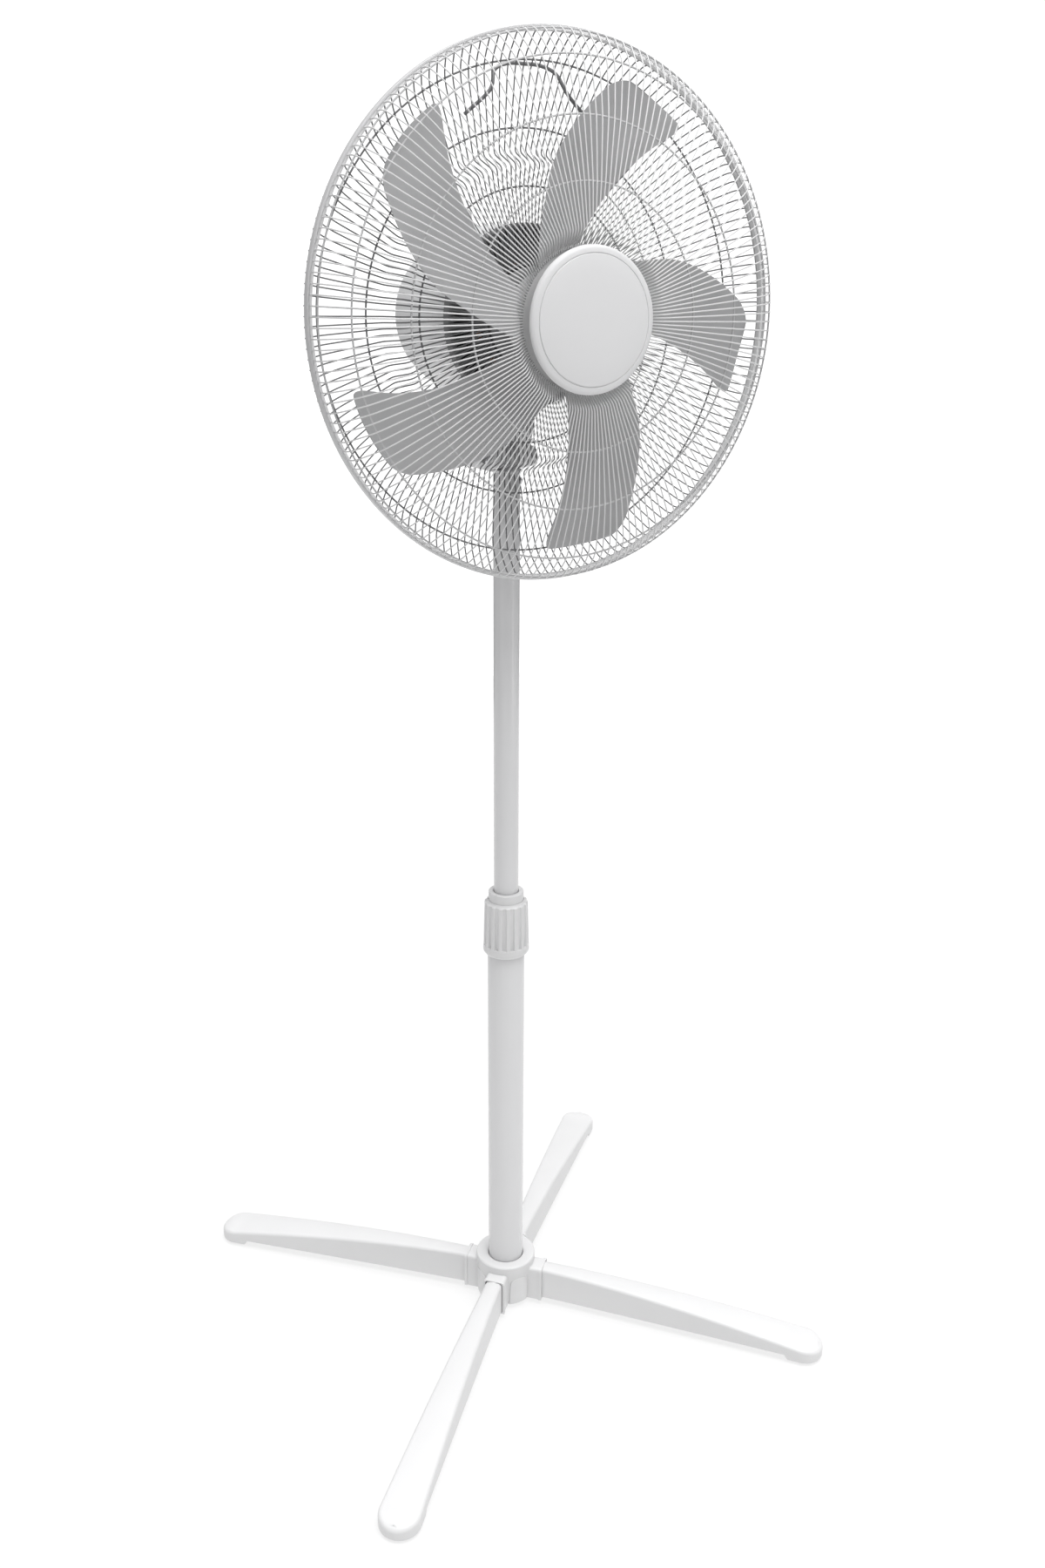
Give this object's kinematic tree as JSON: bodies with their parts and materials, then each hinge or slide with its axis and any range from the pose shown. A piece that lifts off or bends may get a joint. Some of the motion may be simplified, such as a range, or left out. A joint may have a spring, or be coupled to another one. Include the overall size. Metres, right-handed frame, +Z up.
{
  "type": "pedestal fan",
  "caption": "White pedestal fan: crossed-leg base, telescopic mast with fluted lock collar, tilting and oscillating wire-guarded head, swept-blade impeller and push-button neck.",
  "frame": {"origin": "on the floor under the mast axis, the centre of the crossed base", "axes": "+Z up along the mast; the fan faces and blows towards -Y; +X is the tilt axis, towards the tilt knob"},
  "size_m": [0.5288, 0.5288, 1.31],
  "materials": {
    "white_plastic": "satin moulded, white",
    "white_paint": "smooth semi-gloss powder coat, white",
    "wire_coating": "smooth powder coat, light grey-white",
    "blade_plastic": "satin moulded, light grey",
    "dark_plastic": "fine moulded texture, charcoal",
    "cover_plastic": "satin moulded, pale grey",
    "rubber": "matte moulded",
    "steel": "zinc plated",
    "lamination": "stacked sheets, lacquered",
    "copper": "enamelled wire",
    "casting": "as cast",
    "gear_nylon": "natural nylon"
  },
  "bodies": {
    "base": {"base_hub": "white_plastic", "leg_front_left": "white_plastic", "leg_front_right": "white_plastic", "leg_back_left": "white_plastic", "leg_back_right": "white_plastic", "foot_pad_front_left": "rubber", "foot_pad_front_right": "rubber", "foot_pad_back_left": "rubber", "foot_pad_back_right": "rubber", "tube_plug": "casting", "base_bolt": "steel", "lower_tube": "white_paint", "collar_bush": "white_plastic", "clamp_sleeve": "gear_nylon"},
    "collar": {"height_collar": "white_plastic"},
    "mast": {"upper_tube": "white_paint", "slide_bush": "gear_nylon", "neck": "white_plastic", "neck_screw": "steel", "switch_box_cover": "white_plastic", "cord_bush": "rubber", "speed_switch": "dark_plastic"},
    "tilt_yoke": {"tilt_bracket": "cover_plastic", "tilt_bolt": "steel"},
    "tilt_grip": {"tilt_knob": "white_plastic"},
    "head": {"pivot_pin": "steel", "motor_bracket": "casting", "gearbox_case": "casting", "gearbox_lid": "casting", "motor_front_cover": "dark_plastic", "motor_rear_cover": "cover_plastic", "stator_core": "lamination", "front_winding": "copper", "rear_winding": "copper", "front_bearing": "steel", "rear_bearing": "steel", "motor_capacitor": "dark_plastic", "rear_guard": "wire_coating", "guard_nut": "dark_plastic", "front_guard": "wire_coating", "guard_band": "white_plastic", "front_cap": "cover_plastic", "cap_retainer": "white_plastic"},
    "oscillation_pull": {"oscillation_knob": "white_plastic"},
    "rotor": {"motor_shaft": "steel", "drive_pin": "steel", "rotor_core": "lamination", "worm": "steel", "fan_blade": "blade_plastic", "blade_nut": "dark_plastic"},
    "worm_gear": {"worm_wheel": "gear_nylon"},
    "spindle": {"clutch_spindle": "steel"},
    "crank": {"crank_gear": "gear_nylon"},
    "link": {"link_arm": "steel"},
    "button_0": {"speed_button_0": "white_plastic"},
    "button_1": {"speed_button_1": "white_plastic"},
    "button_2": {"speed_button_2": "white_plastic"},
    "button_3": {"speed_button_3": "white_plastic"}
  },
  "joints": [
    {"name": "height_slide", "type": "slide", "parent": "base", "child": "mast", "axis": [0, 0, 1], "range_m": [-0.36, 0]},
    {"name": "collar_twist", "type": "hinge", "parent": "base", "child": "collar", "pos_m": [0, 0, 0.47], "axis": [0, 0, 1], "range_deg": [0, 120]},
    {"name": "tilt", "type": "hinge", "parent": "mast", "child": "tilt_yoke", "pos_m": [0, 0, 0.96], "axis": [1, 0, 0], "range_deg": [-20, 15]},
    {"name": "tilt_knob_twist", "type": "hinge", "parent": "tilt_yoke", "child": "tilt_grip", "pos_m": [0.0248, 0, 0.96], "axis": [1, 0, 0], "range_deg": [0, 90]},
    {"name": "oscillate", "type": "hinge", "parent": "tilt_yoke", "child": "head", "pos_m": [0, 0, 0.998], "axis": [0, 0, 1], "range_deg": [-36, 36]},
    {"name": "blade_spin", "type": "hinge", "parent": "head", "child": "rotor", "pos_m": [0, 0, 1.085], "axis": [0, 1, 0], "continuous": true},
    {"name": "worm_wheel_turn", "type": "hinge", "parent": "head", "child": "worm_gear", "pos_m": [-0.016, 0.056, 1.085], "axis": [0, 0, 1], "continuous": true},
    {"name": "spindle_turn", "type": "hinge", "parent": "head", "child": "spindle", "pos_m": [-0.016, 0.056, 1.05], "axis": [0, 0, 1], "range_deg": [-216, 216]},
    {"name": "crank_turn", "type": "hinge", "parent": "head", "child": "crank", "pos_m": [0.008, 0.056, 1.045], "axis": [0, 0, 1], "range_deg": [-90, 90]},
    {"name": "link_swing", "type": "hinge", "parent": "tilt_yoke", "child": "link", "pos_m": [0.014, 0, 1.0182], "axis": [0, 0, 1], "range_deg": [-36, 36]},
    {"name": "oscillation_knob_pull", "type": "slide", "parent": "head", "child": "oscillation_pull", "axis": [0, 0, 1], "range_m": [0, 0.007]},
    {"name": "button_0_press", "type": "slide", "parent": "mast", "child": "button_0", "axis": [0, -0.5711, -0.8209], "range_m": [0, 0.003], "stiffness_N_per_m": 250},
    {"name": "button_1_press", "type": "slide", "parent": "mast", "child": "button_1", "axis": [0, -0.5711, -0.8209], "range_m": [0, 0.003], "stiffness_N_per_m": 250},
    {"name": "button_2_press", "type": "slide", "parent": "mast", "child": "button_2", "axis": [0, -0.5711, -0.8209], "range_m": [0, 0.003], "stiffness_N_per_m": 250},
    {"name": "button_3_press", "type": "slide", "parent": "mast", "child": "button_3", "axis": [0, -0.5711, -0.8209], "range_m": [0, 0.003], "stiffness_N_per_m": 250}
  ],
  "couplings": [
    {"joint": "worm_wheel_turn", "follows": "blade_spin", "ratio": 0.05},
    {"joint": "crank_turn", "follows": "oscillate", "ratio": -2.5},
    {"joint": "spindle_turn", "follows": "oscillate", "ratio": 6},
    {"joint": "link_swing", "follows": "oscillate", "ratio": 1}
  ]
}
